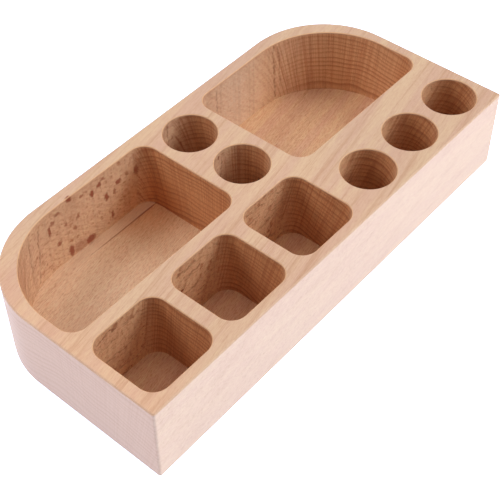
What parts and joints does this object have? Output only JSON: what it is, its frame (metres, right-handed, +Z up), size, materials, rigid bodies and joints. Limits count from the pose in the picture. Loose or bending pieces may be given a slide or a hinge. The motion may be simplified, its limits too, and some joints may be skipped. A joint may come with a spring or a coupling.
{
  "type": "tool storage caddy",
  "caption": "Low solid wood block with rounded back corners, milled from above into open trays, square pockets and round blind sockets for hobby tools.",
  "frame": {"origin": "middle of the flat underside that stands on the bench", "axes": "+X along the block, from the end with the square pockets to the end with the front round sockets; +Y from the straight front face to the back with the rounded corners; +Z up, out of the open hollows"},
  "size_m": [0.2, 0.0954, 0.036],
  "materials": {
    "beech": "fine sanded beech with a thin clear oil"
  },
  "bodies": {
    "root": {"caddy_block": "beech"}
  },
  "joints": []
}
